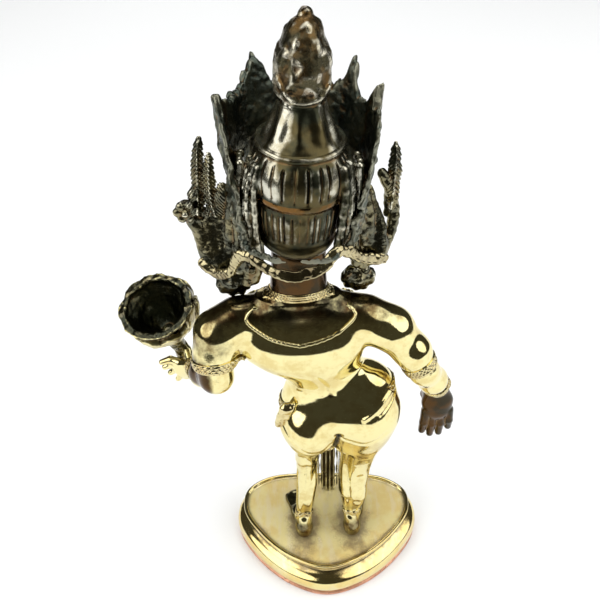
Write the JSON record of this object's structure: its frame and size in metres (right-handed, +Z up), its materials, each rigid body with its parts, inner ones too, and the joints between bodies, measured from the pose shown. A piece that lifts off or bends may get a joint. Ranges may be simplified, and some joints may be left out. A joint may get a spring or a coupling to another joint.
{
  "type": "brass figurine",
  "caption": "Small cast brass devotional figure with a leafed crown, holding a lotus, standing in a triple-bend pose on a heart-shaped pedestal.",
  "frame": {"origin": "Centre of the pedestal's footprint, on the surface it stands on.", "axes": "+Z up, the figure faces -Y, and its own left side is +X."},
  "size_m": [0.0833, 0.0389, 0.1601],
  "materials": {
    "bright_brass": "hand-polished, mirror bright, with brown tarnish in the hollows",
    "dark_brass": "dark brown patina, rubbed bright on the high points",
    "copper_plate": "dull sheet copper with a matt pinkish edge"
  },
  "bodies": {
    "root": {"anklet_left": "bright_brass", "anklet_right": "bright_brass", "armlet_left": "bright_brass", "armlet_right": "bright_brass", "base_plate": "copper_plate", "bracelet_left": "bright_brass", "bracelet_right": "bright_brass", "collar": "bright_brass", "crown_leaf_front": "dark_brass", "crown_leaf_front_left": "dark_brass", "crown_leaf_front_right": "dark_brass", "crown_leaf_left": "dark_brass", "crown_leaf_right": "dark_brass", "diadem": "dark_brass", "earring_left": "dark_brass", "earring_right": "dark_brass", "front_sash": "bright_brass", "girdle": "bright_brass", "girdle_knot": "bright_brass", "hair": "dark_brass", "hair_ribbon": "dark_brass", "hair_strap": "dark_brass", "head": "dark_brass", "hips_and_legs": "bright_brass", "left_arm": "bright_brass", "long_necklace": "bright_brass", "lotus_calyx": "dark_brass", "lotus_cup": "dark_brass", "lotus_petals": "dark_brass", "lotus_stem": "dark_brass", "pedestal": "bright_brass", "plume_left_inner": "dark_brass", "plume_left_outer": "dark_brass", "plume_right": "dark_brass", "right_arm": "bright_brass", "rosette_left": "dark_brass", "side_lock_left": "dark_brass", "side_lock_right": "dark_brass", "streamer_left": "dark_brass", "streamer_right": "dark_brass", "tenon_washer_left": "bright_brass", "tenon_washer_right": "bright_brass", "topknot_finial": "dark_brass", "topknot_skirt": "dark_brass", "torso_and_neck": "bright_brass"}
  },
  "joints": []
}
